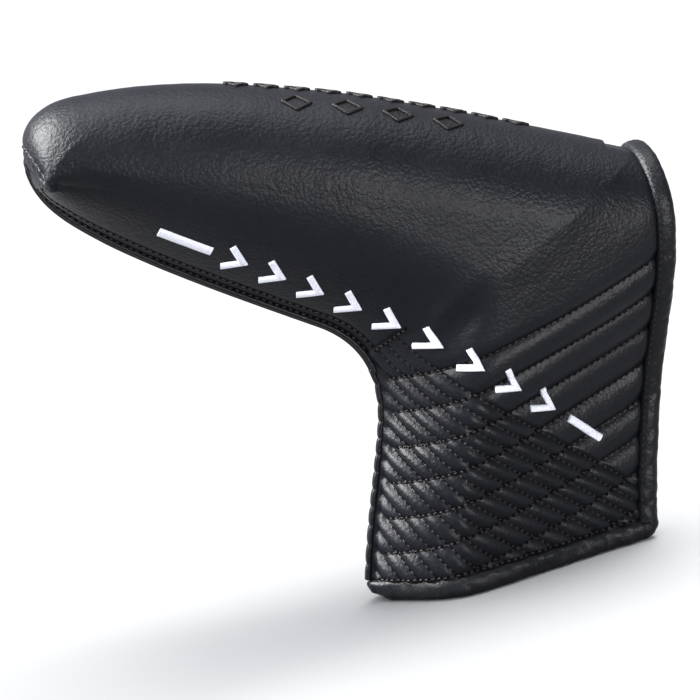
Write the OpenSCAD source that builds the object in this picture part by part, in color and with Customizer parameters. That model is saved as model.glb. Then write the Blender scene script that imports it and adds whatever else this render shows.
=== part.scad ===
// Padded cover for a blade putter's head, standing on its neck hem with the shaft line upright.
// X runs from the toe to the heel, Y through the cover and Z up. The decorated side faces -Y.
// Every wall is leather outside, foam in the middle and plush lining inside.

/* [Outline] */
// Toe tip, left of the shaft line
toe_x = 105; // [100:1:110]
// Toe tip, above the ground
toe_z = 135; // [132:1:138]
// End of the crown at the mouth, right of the shaft line
mouth_x = 52.4; // [50:0.2:55]
// End of the crown at the mouth, above the ground
mouth_z = 106.5; // [104:0.5:109]
// Inner end of the neck hem, left of the shaft line
hem_in_x = 39.6; // [38:0.2:42]
// Outer end of the neck hem, right of the shaft line
hem_out_x = 36.4; // [34:0.2:38]

/* [Depth] */
// Half the depth of the toe's cross seam
toe_half = 13; // [11:0.5:15]
// Half the depth of the head pocket at its widest
body_half = 24; // [22:0.5:26]
// Half the depth of the neck at its hem
hem_half = 18; // [16:0.5:20]
// Half the depth of the mouth's arch under the crown
arch_half = 19; // [17:0.5:21]
// Height of the mouth's arch
arch_rise = 18; // [16:0.5:20]
// Half the depth of the closed mouth
closed_half = 6.3; // [6:0.1:8]

/* [Walls] */
// Leather
leather_t = 1.2; // [1:0.1:1.5]
// Foam padding
foam_t = 2.2; // [1.5:0.1:2.5]
// Plush lining
lining_t = 1.2; // [0.8:0.1:1.4]
// Height of the turned bottom hem
hem_h = 5; // [4:0.5:6]
// Width of the rolled hem round the mouth
mouth_hem_w = 4.8; // [4:0.2:6]
// Radius of each bead of the seam welt
welt_r = 0.9; // [0.7:0.1:1.1]

/* [Closure] */
// Length of the hook and loop strips
strip_len = 40; // [30:1:45]
// Width of the hook and loop strips
strip_w = 12; // [8:1:14]
// Thickness of each strip
strip_t = 1.45; // [1:0.05:1.5]

/* [Decoration] */
// Height of the embroidered row on the side
motif_h = 6.2; // [5:0.2:7]
// Number of chevrons in the side row
chevrons = 9; // [7:1:9]
// Width of a satin-stitched stroke
stroke_w = 1.6; // [1.2:0.1:2]
// Height between the ribs quilted across the neck and flaps
rib_pitch = 9; // [8:0.5:11]
// Height between the fine channels quilted across the neck
channel_pitch = 5.5; // [5:0.1:7]

/* [Hidden] */

// The origin is under the middle of the cover, so the shaft line stands this far to its right.
shaft_x = 24.03;
leather_colour = [0.09, 0.09, 0.1];
foam_colour = [0.3, 0.3, 0.31];
lining_colour = [0.16, 0.16, 0.18];
thread_colour = [0.16, 0.13, 0.13];
white_thread = [0.93, 0.93, 0.95];

// Depths of the wall's faces below the leather's outer face
d_leather = leather_t;
d_foam = leather_t + foam_t;
d_lining = leather_t + foam_t + lining_t;

// Outline: the crown and mouth on the outside, the seam on the inside, in X and Z
toe_tip = [-toe_x, toe_z];
crown_start = toe_tip + [17, 15.6];
crown_end = [mouth_x, mouth_z];
hem_out = [hem_out_x, hem_h];
hem_in = [-hem_in_x, hem_h];
arm_start = toe_tip + [15.6, -22.6];
crotch_start = [-39.3, 78.3];
crotch_end = [-27, 50];
nose_curve = [toe_tip, toe_tip + [-2.4, 8], crown_start + [-14, 1], crown_start];
crown_curve = [crown_start, crown_start + [42, 0], crown_end + [-46.4, 20], crown_end];
mouth_curve = [crown_end, crown_end + [3.1, -32.5], hem_out + [4.1, 33], hem_out];
toe_seam = [toe_tip, toe_tip + [0.5, -10], arm_start + [-7.1, 6.2], arm_start];
arm_seam = [arm_start, arm_start + [14, -11.5], crotch_start + [-15.1, 9.6], crotch_start];
crotch_seam = [crotch_start, [-29, 72], [-24.8, 62.5], crotch_end];
neck_seam = [crotch_end, crotch_end + [-2, -10], hem_in + [3.5, 17], hem_in];

// Stations along the cover where those curves join
s_arm = 0.14;
s_crotch = 0.46;
s_mouth = 0.66;
s_neck = 0.78;
crown_share = 0.52;

// Stations of the rows of the walls, and columns from the seam to the crown
toe_rows = [0.004, 0.02, 0.045, 0.065, 0.09, 0.115];
arm_rows = [0.14, 0.19, 0.24, 0.3, 0.36, 0.41, 0.46, 0.51, 0.56, 0.61];
mouth_rows = [0, 0.04, 0.08, 0.115, 0.15, 0.2, 0.28, 0.38, 0.49, 0.61, 0.74, 0.87, 1];
rows = concat(toe_rows, arm_rows, [for (t = mouth_rows) mouth_station(t)]);
mouth_row = len(toe_rows) + len(arm_rows);
hinge_row = mouth_row + 4;
flap_places = [0.18, 0.25, 0.34, 0.44, 0.55, 0.67, 0.83, 1];
flap_rows = [for (t = flap_places) mouth_station(t)];
columns = 10;
flap_columns = 5;

// Fold line of the flaps, from the mouth's edge to the bottom hem, and its clearance
fold_top_t = 0.15;
fold_bottom = [2, hem_h];
fold_gap = 0.2;
hem_gap = 2;
mouth_len = norm(crown_end - hem_out);
fold_top = curve(mouth_curve, fold_top_t);
fold_dir = (fold_bottom - fold_top) / norm(fold_bottom - fold_top);

function mouth_station(t) = s_mouth + (1 - s_mouth) * t;
function clamp(x) = min(max(x, 0), 1);
function mix(a, b, t) = a + (b - a) * t;
function ease(x) = let (c = clamp(x)) c * c * (3 - 2 * c);
function unit(v) = v / norm(v);
function cross2(a, b) = a[0] * b[1] - a[1] * b[0];
function curve(p, t) = let (r = 1 - t)
  p[0] * r * r * r + p[1] * 3 * t * r * r + p[2] * 3 * t * t * r + p[3] * t * t * t;
function share(s, a, b) = clamp((s - a) / (b - a));

// The seam edge of the cover at a station
function seam_edge(s) =
  s <= s_arm ? curve(toe_seam, s / s_arm) :
  s <= s_crotch ? curve(arm_seam, share(s, s_arm, s_crotch)) :
  s <= s_mouth ? curve(crotch_seam, share(s, s_crotch, s_mouth) / 2) :
  s <= s_neck ? curve(crotch_seam, 0.5 + share(s, s_mouth, s_neck) / 2) :
  curve(neck_seam, share(s, s_neck, 1));

// The crown, then the mouth's edge, at a station
function outer_edge(s) =
  s <= s_arm ? curve(nose_curve, s / s_arm) :
  s <= s_crotch ? curve(crown_curve, crown_share * share(s, s_arm, s_crotch)) :
  s <= s_mouth ? curve(crown_curve, mix(crown_share, 1, share(s, s_crotch, s_mouth))) :
  curve(mouth_curve, share(s, s_mouth, 1));

// Inward direction of the outer edge: square to the crown, turning down along the mouth at its end
function inward(s) =
  let (step = outer_edge(s + 0.002) - outer_edge(s - 0.002))
  let (down = unit(mouth_curve[1] - mouth_curve[0]))
  unit(mix(unit([step[1], -step[0]]), down, pow(share(s, s_crotch, s_mouth), 4)));

// The same edges for a face that lies d deep in the wall
function outer_at(s, d) =
  s <= s_mouth ? outer_edge(s) + inward(min(s, s_mouth - 0.003)) * d :
  let (t = share(s, s_mouth, 1), arch_t = arch_rise / mouth_len)
  curve(mouth_curve, t < arch_t ? d / mouth_len + t * (1 - d / arch_rise) : t);
function seam_at(s, d) = seam_edge(s) + unit(outer_edge(s) - seam_edge(s)) * 1.5 * d;

// Half the depth of the cover: across a station, at the mouth's edge, and anywhere on the side
half_stations = [[0, toe_half], [0.06, toe_half + 2.5], [0.14, toe_half + 5.5], [0.3, body_half - 2],
  [0.46, body_half], [0.66, body_half], [0.8, body_half - 3], [1, hem_half]];
function half_across(s) = lookup(s, half_stations);
function mouth_half(s, d) =
  let (q = share(s, s_mouth, 1) * mouth_len)
  q < arch_rise ? (arch_half - d) * sqrt(1 - pow(1 - q / arch_rise, 2)) :
  mix(arch_half, closed_half, ease((q - arch_rise) / 50)) - d;
function crown_radius(s) = lookup(s, [[0, 22], [s_crotch, 24], [s_mouth, 32], [1, 36]]);
function seam_run(s) = lookup(s, [[0, 0.55], [s_crotch, 0.55], [0.85, 0.34], [1, 0.32]]);
function depth(s, u, d) =
  let (length = norm(outer_at(s, d) - seam_at(s, d)))
  let (half = half_across(s) - d)
  let (radius = min(length / 2, crown_radius(s) - d))
  let (edge = s <= s_mouth ? 0 : mouth_half(s, d) / half)
  let (v = clamp((1 - u) * length / radius))
  let (w = clamp((1 - u) / 0.72))
  let (arched = sqrt(edge * edge + (1 - edge * edge) * (1 - pow(1 - v, 2))))
  let (pinched = edge + (1 - edge) * (0.45 * ease(w) + 0.55 * w))
  let (taper = pow(sin(90 * min(u / seam_run(s), 1)), 0.9))
  half * taper * mix(arched, pinched, ease(share(s, s_mouth, 0.85)));

// A point of the wall: station s, u from the seam (0) to the outer edge (1), side -1 front or 1 back
function toe_pull(s, u, d) = s > 0.16 ? [0, 0] :
  [5, -4] * pow(depth(s, u, d) / half_across(s) * (1 - s / 0.16), 2);
function wall(s, u, side, d = 0) =
  let (p = mix(seam_at(s, d), outer_at(s, d), u) + toe_pull(s, u, d))
  [p[0], side * depth(s, u, d), p[1]];

// Where the fold line crosses a station, as u, moved sideways by gap
function fold_u(s, d, gap) =
  let (a = seam_at(s, d), b = outer_at(s, d))
  let (start = fold_top + [fold_dir[1], -fold_dir[0]] * gap)
  clamp(cross2(start - a, fold_dir) / cross2(b - a, fold_dir));

// Station and u of a place on the side, by Newton steps from a first guess
function on_side(p) = mix(seam_edge(p[0]), outer_edge(p[0]), p[1]);
function locate(q, guess = [0.7, 0.4], left = 9) = left == 0 ? guess :
  let (h = 0.002, here = on_side(guess), miss = q - here)
  let (a = (on_side(guess + [h, 0]) - here) / h, b = (on_side(guess + [0, h]) - here) / h)
  let (det = cross2(a, b))
  let (next = guess + [cross2(miss, b), cross2(a, miss)] / det)
  locate(q, [min(max(next[0], 0.03), 0.997), min(max(next[1], 0.01), 0.999)], left - 1);

// A point on the leather at a place of the side, lifted off it
function skin(q, side = -1, lift = 0.25) =
  let (p = locate(q), y = depth(p[0], p[1], 0) + lift)
  [q[0], side * y, q[1]];

// Two triangles of a quad, and a quad whose order can be reversed
function quad(a, b, c, e) = [[a, b, c], [a, c, e]];
function turned(faces, flip) = flip ? [for (f = faces) [f[2], f[1], f[0]]] : faces;
function flat_list(l) = [for (a = l) for (b = a) b];

// A wall between two depths that folds over the crown, open from the mouth down and at the hem
module folded_wall(d_out, d_in, first_out, first_in) {
  last = len(rows) - 1;
  wide = 2 * columns + 1;
  function limit(i, d) = i > hinge_row ? fold_u(rows[i], d, fold_gap) : 1;
  function ring(i, d) = [for (j = [-columns:columns])
    wall(rows[i], limit(i, d) * sin(90 * abs(j) / columns), sign(j), d)];
  outer = flat_list([for (i = [first_out:last]) ring(i, d_out)]);
  inner = flat_list([for (i = [first_in:last]) ring(i, d_in)]);
  base = len(outer);
  function shut(i, j) = j == wide - 1 && i <= mouth_row ? 0 : j;
  function o(i, j) = (i - first_out) * wide + shut(i, j);
  function n(i, j) = base + (i - first_in) * wide + shut(i, j);
  outside = [for (i = [first_out:last - 1]) for (j = [0:wide - 2])
    each quad(o(i, j), o(i, j + 1), o(i + 1, j + 1), o(i + 1, j))];
  inside = [for (i = [first_in:last - 1]) for (j = [0:wide - 2])
    each quad(n(i, j), n(i + 1, j), n(i + 1, j + 1), n(i, j + 1))];
  hem = [for (j = [0:wide - 2]) each quad(o(last, j), o(last, j + 1), n(last, j + 1), n(last, j))];
  front_edge = [for (i = [mouth_row:last - 1]) each quad(o(i, 0), o(i + 1, 0), n(i + 1, 0), n(i, 0))];
  back_edge = [for (i = [mouth_row:last - 1])
    each quad(n(i, wide - 1), n(i + 1, wide - 1), o(i + 1, wide - 1), o(i, wide - 1))];
  function cap(i, outer_face) = [
    for (j = [0:columns - 1])
      let (a = outer_face ? o(i, j) : n(i, j), b = outer_face ? o(i, j + 1) : n(i, j + 1))
      let (c = outer_face ? o(i, wide - 2 - j) : n(i, wide - 2 - j))
      let (e = outer_face ? o(i, wide - 1 - j) : n(i, wide - 1 - j))
      each (j == 0 ? [[a, c, b]] : j == columns - 1 ? [[a, e, b]] : quad(a, e, c, b))];
  polyhedron(concat(outer, inner), turned(concat(outside, inside, hem, front_edge, back_edge,
    cap(first_out, true), turned(cap(first_in, false), true)), true));
}

// One layer of a flap between two depths
module flap_wall(d_out, d_in, side) {
  last = len(flap_rows) - 1;
  wide = flap_columns + 1;
  function face(d) = [for (s = flap_rows) for (j = [0:flap_columns])
    wall(s, mix(fold_u(s, d, -fold_gap), 1, j / flap_columns), side, d)];
  half = wide * len(flap_rows);
  function o(i, j) = i * wide + j;
  function n(i, j) = half + o(i, j);
  skins = [for (i = [0:last - 1]) for (j = [0:flap_columns - 1])
    each concat(quad(o(i, j), o(i + 1, j), o(i + 1, j + 1), o(i, j + 1)),
      quad(n(i, j), n(i, j + 1), n(i + 1, j + 1), n(i + 1, j)))];
  ends = [for (j = [0:flap_columns - 1])
    each concat(quad(o(0, j), o(0, j + 1), n(0, j + 1), n(0, j)),
      quad(o(last, j), n(last, j), n(last, j + 1), o(last, j + 1)))];
  sides = [for (i = [0:last - 1])
    each concat(quad(o(i, 0), n(i, 0), n(i + 1, 0), o(i + 1, 0)),
      quad(o(i, flap_columns), o(i + 1, flap_columns), n(i + 1, flap_columns), n(i, flap_columns)))];
  polyhedron(concat(face(d_out), face(d_in)), turned(concat(skins, ends, sides), side < 0));
}

// A solid swept through rings of points, closed by a fan at each end
module swept(rings, flip = false) {
  count = len(rings[0]);
  last = len(rings) - 1;
  sides = [for (i = [0:last - 1]) for (j = [0:count - 1])
    each quad(i * count + j, (i + 1) * count + j,
      (i + 1) * count + (j + 1) % count, i * count + (j + 1) % count)];
  start = [for (j = [1:count - 2]) [0, j, j + 1]];
  end = [for (j = [1:count - 2]) [last * count, last * count + j + 1, last * count + j]];
  polyhedron(flat_list(rings), turned(concat(sides, start, end), flip));
}

// Outlines of the rolled hems: depth in the wall against distance past the wall's edge
mouth_roll = [[0, 0], [-0.4, 0.6], [-0.55, 2.2], [-0.2, 3.9], [1.2, 4.8], [3.2, 4.8], [4.5, 4.1],
  [4.9, 2.4], [4.6, 0]];
bottom_roll = [[0, 0], [-0.4, 1], [-0.45, 3.2], [0.2, 4.5], [1.3, 5], [3.2, 5], [4.3, 4.5],
  [4.9, 3.2], [4.9, 1], [4.6, 0]];
function wall_depth(roll_d) = roll_d * d_lining / 4.6;
joint_gap = 0.05;

// Ring of the mouth hem on its straight run, and round its arch at an angle from the crown
function mouth_ring(t, side) =
  let (p = curve(mouth_curve, t), along = unit(curve(mouth_curve, t + 0.01) - curve(mouth_curve, t - 0.01)))
  [for (k = mouth_roll)
    let (q = p + [-along[1], along[0]] * (k[1] * mouth_hem_w / 4.8 + joint_gap))
    [q[0], side * (mouth_half(mouth_station(t), 0) - wall_depth(k[0])), max(q[1], hem_h + joint_gap)]];
function arch_ring(angle, lift = 0) =
  let (down = unit(mouth_curve[1] - mouth_curve[0]), centre = crown_end + down * arch_rise)
  [for (k = mouth_roll)
    let (d = wall_depth(k[0]), out = [-down[1], down[0]] * k[1] * mouth_hem_w / 4.8)
    let (p = centre - down * (arch_rise - d) * cos(angle) + out)
    [p[0], (arch_half - d) * sin(angle), p[1]]];

// Ring of the bottom hem at u, and past the mouth's edge by a distance where its corner is rounded
function bottom_ring(u, side) = [for (k = bottom_roll)
  let (p = wall(1, u, side, wall_depth(k[0])))
  [p[0] - 0.2 * k[1] * (1 - u), p[1], hem_h * (1 - k[1] / 5)]];
function corner_ring(past, round_up, side) = [for (k = bottom_roll)
  [hem_out[0] + past, side * (closed_half - wall_depth(k[0])), mix(hem_h * (1 - k[1] / 5), hem_h, round_up)]];

// A thread or cord along points on one side, as a tube of a few sides
module thread(points, r, sides = 4, square_to = [0, 1, 0]) {
  last = len(points) - 1;
  swept([for (i = [0:last])
    let (along = unit(points[min(i + 1, last)] - points[max(i - 1, 0)]))
    let (across = unit(cross(along, square_to)), up = cross(across, along))
    [for (k = [0:sides - 1])
      points[i] + r * (cos(360 * k / sides) * across + sin(360 * k / sides) * up)]], true);
}

// A raised stroke along places on the front, as a slab that follows the leather with mitred bends
module stroke(places, w, lift = 0.45, height = 0.6) {
  last = len(places) - 1;
  swept([for (i = [0:last])
    let (before = unit(places[max(i, 1)] - places[max(i, 1) - 1]))
    let (after = unit(places[min(i + 1, last)] - places[min(i + 1, last) - 1]))
    let (run = unit(before + after), reach = w / 2 / max(run * after, 0.4))
    let (p = places[i], across = [-run[1], run[0]] * reach)
    [skin(p - across, -1, lift), skin(p + across, -1, lift),
      skin(p + across, -1, lift + height), skin(p - across, -1, lift + height)]]);
}
function between(a, b, steps) = [for (i = [0:steps]) mix(a, b, i / steps)];

// Baseline of the side row: an arc-like curve from the toe dash to the heel dash
row_curve = [[-76.5, 113.4], [-41.5, 91], [-6.5, 68.5], [28.5, 31.9]];
function row_point(t) = curve(row_curve, t);
function row_across(t) = let (v = unit(row_point(t + 0.01) - row_point(t - 0.01))) [-v[1], v[0]];

module placed() {
  translate([shaft_x, 0, 0]) children();
}

module leather_shell() {
  color(leather_colour) placed() folded_wall(0, d_leather, 0, 1);
}
module shell_padding() {
  color(foam_colour) placed() folded_wall(d_leather, d_foam, 1, 2);
}
module shell_lining() {
  color(lining_colour) placed() folded_wall(d_foam, d_lining, 2, 3);
}
module flap_leather(side) {
  color(leather_colour) placed() flap_wall(0, d_leather, side);
}
module flap_padding(side) {
  color(foam_colour) placed() flap_wall(d_leather, d_foam, side);
}
module flap_lining(side) {
  color(lining_colour) placed() flap_wall(d_foam, d_lining, side);
}

// Twin beads outside a stretch of the seam, joined between them
module seam_beads(from, to, steps, r, gap) {
  color(leather_colour) placed() swept([for (i = [0:steps])
    let (s = mix(from, to, i / steps), p = seam_edge(s))
    let (along = unit(seam_edge(s + 0.004) - seam_edge(s - 0.004)), out = [along[1], -along[0]])
    [for (k = [0:9])
      let (a = 36 * k, lobe = 1 + 0.25 * cos(2 * a))
      let (q = p + out * (gap + r + r * sin(a)))
      [q[0], 1.35 * r * lobe * cos(a), q[1]]]], true);
}
module arm_seam_welt() {
  seam_beads(0.08, 0.69, 26, welt_r, 0.1);
}
module neck_seam_lip() {
  seam_beads(0.7, 0.99, 12, welt_r * 0.85, 0.1);
}

// Short seam across the toe, where the crown turns down and meets the two sides
module toe_cross_seam() {
  color(leather_colour) placed() swept([for (i = [-4:4])
    let (y = i / 4, p = toe_tip + [3.2, -2.6] * y * y + [-1, 0.2])
    [for (k = [0:5]) [p[0] + 0.7 * cos(60 * k), y * (toe_half - 2), p[1] + 0.7 * sin(60 * k)]]], true);
}

module mouth_arch_hem() {
  color(leather_colour) placed() swept([for (i = [-8:8]) arch_ring(i * 10)]);
}
module mouth_hem(side) {
  color(leather_colour) placed()
    swept([for (t = flap_places) mouth_ring(t, side)], side < 0);
}
module shell_bottom_hem(side) {
  top_u = fold_u(1, 0, hem_gap);
  color(leather_colour) placed() swept([for (i = [0:10]) bottom_ring(top_u * i / 10, side)], side > 0);
}
module flap_bottom_hem(side) {
  first_u = fold_u(1, 0, -fold_gap);
  color(leather_colour) placed() swept(concat(
    [for (i = [0:6]) bottom_ring(mix(first_u, 1, i / 6), side)],
    [corner_ring(1.4, 0, side), corner_ring(3, 0.25, side), corner_ring(4.2, 0.6, side)]), side > 0);
}

// Closing strip sewn to a flap's lining, along the lower part of the mouth
module closing_strip(side) {
  steps = 8;
  from_t = 1 - (strip_len + 6) / mouth_len;
  to_t = 1 - 6 / mouth_len;
  swept([for (i = [0:steps])
    let (s = mouth_station(mix(from_t, to_t, i / steps)))
    let (length = norm(outer_at(s, 0) - seam_at(s, 0)), first_u = 1 - strip_w / length)
    let (a = wall(s, first_u, side, d_lining + 0.02), b = wall(s, (first_u + 1) / 2, side, d_lining + 0.02))
    let (c = wall(s, 1, side, d_lining + 0.02), thick = [0, -side * strip_t, 0])
    [a, b, c, c + thick, b + thick, a + thick]], side < 0);
}
module hook_strip() {
  color([0.12, 0.12, 0.13]) placed() closing_strip(-1);
}
module loop_strip() {
  color([0.2, 0.2, 0.22]) placed() closing_strip(1);
}

module toe_dash_embroidery() {
  color(white_thread) placed() stroke([for (i = [0:6]) row_point(0.118 * i / 6)], stroke_w);
}
module heel_dash_embroidery() {
  color(white_thread) placed() stroke([for (i = [0:5]) row_point(mix(0.947, 1, i / 5))], stroke_w);
}
// Chevrons that point towards the heel
module chevron_embroidery() {
  color(white_thread) placed()
    for (i = [0:chevrons - 1]) {
      t = mix(0.17, 0.86, i / (chevrons - 1));
      tip = row_point(t + 0.018);
      arm = row_across(t) * motif_h / 2;
      back = row_point(t - 0.018);
      stroke(concat(between(back + arm, tip, 3), [for (i = [1:3]) mix(tip, back - arm, i / 3)]), stroke_w);
    }
}

// Outline lozenges on the crown: along it by t, and down either side of the ridge by an angle
function on_crown(t, angle, lift) =
  let (r = 20, p = curve(crown_curve, t), n = inward(mix(s_arm, s_crotch, min(t, 0.9))))
  let (q = p + n * (r * (1 - cos(angle)) - lift * cos(angle)))
  [q[0], (r + lift) * sin(angle), q[1]];
module lozenge(t, angle, half_t, half_angle) {
  corners = [[t - half_t, angle], [t, angle - half_angle], [t + half_t, angle], [t, angle + half_angle]];
  for (k = [0:3]) {
    a = corners[k];
    b = corners[(k + 1) % 4];
    thread([for (i = [0:2]) let (c = mix(a, b, i / 2.4)) on_crown(c[0], c[1], 0.95)], 0.35);
  }
}
module crown_upper_embroidery() {
  color(thread_colour) placed() for (i = [0:9]) lozenge(0.3 + 0.055 * i, 0, 0.02, 9);
}
module crown_lower_embroidery() {
  color(thread_colour) placed() for (i = [0:3]) lozenge(0.4 + 0.09 * i, -32, 0.025, 9);
}

// Stitched rows along the arm's lower edge, a distance up from the seam
module arm_rows_of_thread(side) {
  color(thread_colour) placed() for (up = [2, 4])
    thread([for (i = [0:14])
      let (s = mix(0.1, 0.64, i / 14), u = up / norm(outer_edge(s) - seam_edge(s)))
      wall(s, u, side, -0.55)], 0.25);
}

// Quilting: ribs that rise towards the mouth, crossed below the embroidered row by fine channels that fall.
// Each family starts from its first line's height at the shaft line, slope and bend.
quilt_left = -30;
quilt_step = 6;
rib_top = 63.6;
rib_rise = 0.2;
rib_bend = 0.0016;
channel_top = 49.2;
channel_fall = 0.9;
channel_bend = 0.022;
channel_bend_x = -8;
channel_spread = 0.026;
even_channels = 3.2;
row_clear = 9;
thread_lift = 1.4;
function rib_line(k) = [for (i = [0:13])
  let (x = quilt_left + i * quilt_step) [x, rib_top - k * rib_pitch + rib_rise * x + rib_bend * x * x]];
function channel_line(k) = [for (i = [0:13])
  let (x = quilt_left + i * quilt_step, bend = min(x - channel_bend_x, 0))
  let (drop = k + channel_spread * pow(max(k - even_channels, 0), 2))
  [x, channel_top - drop * channel_pitch - channel_fall * x + channel_bend * bend * bend]];
function row_height(x) = row_point(clamp((x - row_curve[0][0]) / (row_curve[3][0] - row_curve[0][0])))[1];
function inside_neck(q, flap) =
  let (p = locate(q), f = fold_u(p[0], 0, 0))
  q[1] > hem_h + 1 && norm(on_side(p) - q) < 0.5 && p[1] > 0.06 && p[1] < 0.97 &&
  (flap ? p[1] > f + 0.03 && p[0] > s_mouth + 0.08 : p[1] < f - 0.03);
module quilt(side, flap) {
  lines = concat([for (k = [0:7]) rib_line(k)], [for (k = [0:10]) channel_line(k)]);
  clear = side < 0 ? row_clear : 0;
  // Each line runs in two lengths, one under the embroidered row and one over it
  color(thread_colour) placed() for (line = lines, over = [-1, 1]) {
    kept = [for (q = line) if (over * (q[1] - row_height(q[0])) > clear && inside_neck(q, flap)) q];
    if (len(kept) > 1) thread([for (q = kept) skin(q, side, thread_lift)], 0.25);
  }
}

// Top-stitching just inside the mouth's hem
module mouth_rows_of_thread(side) {
  color(thread_colour) placed()
    thread([for (i = [0:9])
      let (s = mouth_station(mix(0.21, 0.98, i / 9)), length = norm(outer_edge(s) - seam_edge(s)))
      wall(s, 1 - 1 / length, side, -0.6)], 0.25);
}
module arch_topstitching() {
  color(thread_colour) placed()
    thread([for (i = [-6:6]) arch_ring(i * 12)[1] + 0.45 * [0, sin(i * 12), cos(i * 12)]],
      0.22, 4, [1, 0, 0]);
}

leather_shell();
flap_leather(-1);  // front_flap_leather
flap_leather(1);  // back_flap_leather
shell_padding();
flap_padding(-1);  // front_flap_padding
flap_padding(1);  // back_flap_padding
shell_lining();
flap_lining(-1);  // front_flap_lining
flap_lining(1);  // back_flap_lining
arm_seam_welt();
neck_seam_lip();
toe_cross_seam();
mouth_arch_hem();
mouth_hem(-1);  // front_mouth_hem
mouth_hem(1);  // back_mouth_hem
shell_bottom_hem(-1);  // front_shell_bottom_hem
shell_bottom_hem(1);  // back_shell_bottom_hem
flap_bottom_hem(-1);  // front_flap_bottom_hem
flap_bottom_hem(1);  // back_flap_bottom_hem
hook_strip();
loop_strip();
toe_dash_embroidery();
chevron_embroidery();
heel_dash_embroidery();
crown_upper_embroidery();
crown_lower_embroidery();
arm_rows_of_thread(-1);  // front_arm_topstitching
arm_rows_of_thread(1);  // back_arm_topstitching
quilt(-1, false);  // front_shell_quilt_thread
quilt(1, false);  // back_shell_quilt_thread
quilt(-1, true);  // front_flap_quilt_thread
quilt(1, true);  // back_flap_quilt_thread
mouth_rows_of_thread(-1);  // front_mouth_topstitching
mouth_rows_of_thread(1);  // back_mouth_topstitching
arch_topstitching();
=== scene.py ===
import math

import bpy
import numpy as np
from mathutils import Matrix, Vector


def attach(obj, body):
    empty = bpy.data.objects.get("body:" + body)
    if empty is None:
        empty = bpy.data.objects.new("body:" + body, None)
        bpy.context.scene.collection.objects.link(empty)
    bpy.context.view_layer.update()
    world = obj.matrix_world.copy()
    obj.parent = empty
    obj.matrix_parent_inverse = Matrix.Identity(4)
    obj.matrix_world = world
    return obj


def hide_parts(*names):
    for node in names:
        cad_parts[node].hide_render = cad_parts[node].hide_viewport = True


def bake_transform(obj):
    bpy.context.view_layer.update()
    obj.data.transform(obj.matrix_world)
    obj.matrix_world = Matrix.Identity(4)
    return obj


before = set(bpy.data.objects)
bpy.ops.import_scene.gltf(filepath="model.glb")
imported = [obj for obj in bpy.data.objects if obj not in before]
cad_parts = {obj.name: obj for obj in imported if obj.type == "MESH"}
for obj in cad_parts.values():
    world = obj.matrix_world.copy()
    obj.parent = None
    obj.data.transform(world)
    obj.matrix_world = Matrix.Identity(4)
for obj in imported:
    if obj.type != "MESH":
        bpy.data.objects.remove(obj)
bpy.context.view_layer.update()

MM = 0.001
SHAFT_X = 24.03  # place of the shaft line in the frame, mm
FRONT, BACK = -1, 1
TAU = 2 * math.pi


# ---------------------------------------------------------------- outline, in mm, X = 0 on the shaft line
def at(x, z):
    return np.array([x, z], float)


HEM_H = 5.0
TOE_TIP = at(-105, 135)
CROWN_START = TOE_TIP + at(17, 15.6)
CROWN_END = at(52.4, 106.5)
HEM_OUT = at(36.4, HEM_H)
HEM_IN = at(-39.6, HEM_H)
ARM_START = TOE_TIP + at(15.6, -22.6)
CROTCH_START = at(-39.3, 78.3)
CROTCH_END = at(-27, 50)
NOSE = (TOE_TIP, TOE_TIP + at(-2.4, 8), CROWN_START + at(-14, 1), CROWN_START)
CROWN = (CROWN_START, CROWN_START + at(42, 0), CROWN_END + at(-46.4, 20), CROWN_END)
MOUTH = (CROWN_END, CROWN_END + at(3.1, -32.5), HEM_OUT + at(4.1, 33), HEM_OUT)
TOE_SEAM = (TOE_TIP, TOE_TIP + at(0.5, -10), ARM_START + at(-7.1, 6.2), ARM_START)
ARM_SEAM = (ARM_START, ARM_START + at(14, -11.5), CROTCH_START + at(-15.1, 9.6), CROTCH_START)
CROTCH = (CROTCH_START, at(-29, 72), at(-24.8, 62.5), CROTCH_END)
NECK = (CROTCH_END, CROTCH_END + at(-2, -10), HEM_IN + at(3.5, 17), HEM_IN)
S_ARM, S_CROTCH, S_MOUTH, S_NECK = 0.14, 0.46, 0.66, 0.78
CROWN_SHARE = 0.52
BODY_HALF, ARCH_HALF, ARCH_RISE, CLOSED_HALF = 24.0, 19.0, 18.0, 6.3
MOUTH_LEN = float(np.linalg.norm(CROWN_END - HEM_OUT))
MOUTH_CLOSING = 50.0  # length over which the mouth narrows below its arch
PINCHED_FROM = 0.85  # station from which the neck's section is fully pinched
TOE_PULL, TOE_PULL_END = at(5, -4), 0.16


def curve(p, t):
    """Points of a cubic curve with four control points."""
    t = np.asarray(t, float)[..., None]
    r = 1 - t
    return p[0] * r**3 + p[1] * 3 * t * r * r + p[2] * 3 * t * t * r + p[3] * t**3


def pieces_of(s, parts):
    """Points at stations s of an edge made of curves: up to which station, curve, its stations, its share."""
    s = np.asarray(s, float)
    out = np.zeros(s.shape + (2,))
    low = -9
    for high, p, a, b, ta, tb in parts:
        m = (s > low) & (s <= high)
        out[m] = curve(p, ta + (tb - ta) * np.clip((s[m] - a) / (b - a), 0, 1))
        low = high
    return out


def seam_edge(s):
    return pieces_of(s, [
        (S_ARM, TOE_SEAM, 0, S_ARM, 0, 1), (S_CROTCH, ARM_SEAM, S_ARM, S_CROTCH, 0, 1),
        (S_MOUTH, CROTCH, S_CROTCH, S_MOUTH, 0, 0.5), (S_NECK, CROTCH, S_MOUTH, S_NECK, 0.5, 1),
        (9, NECK, S_NECK, 1, 0, 1)])


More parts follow.
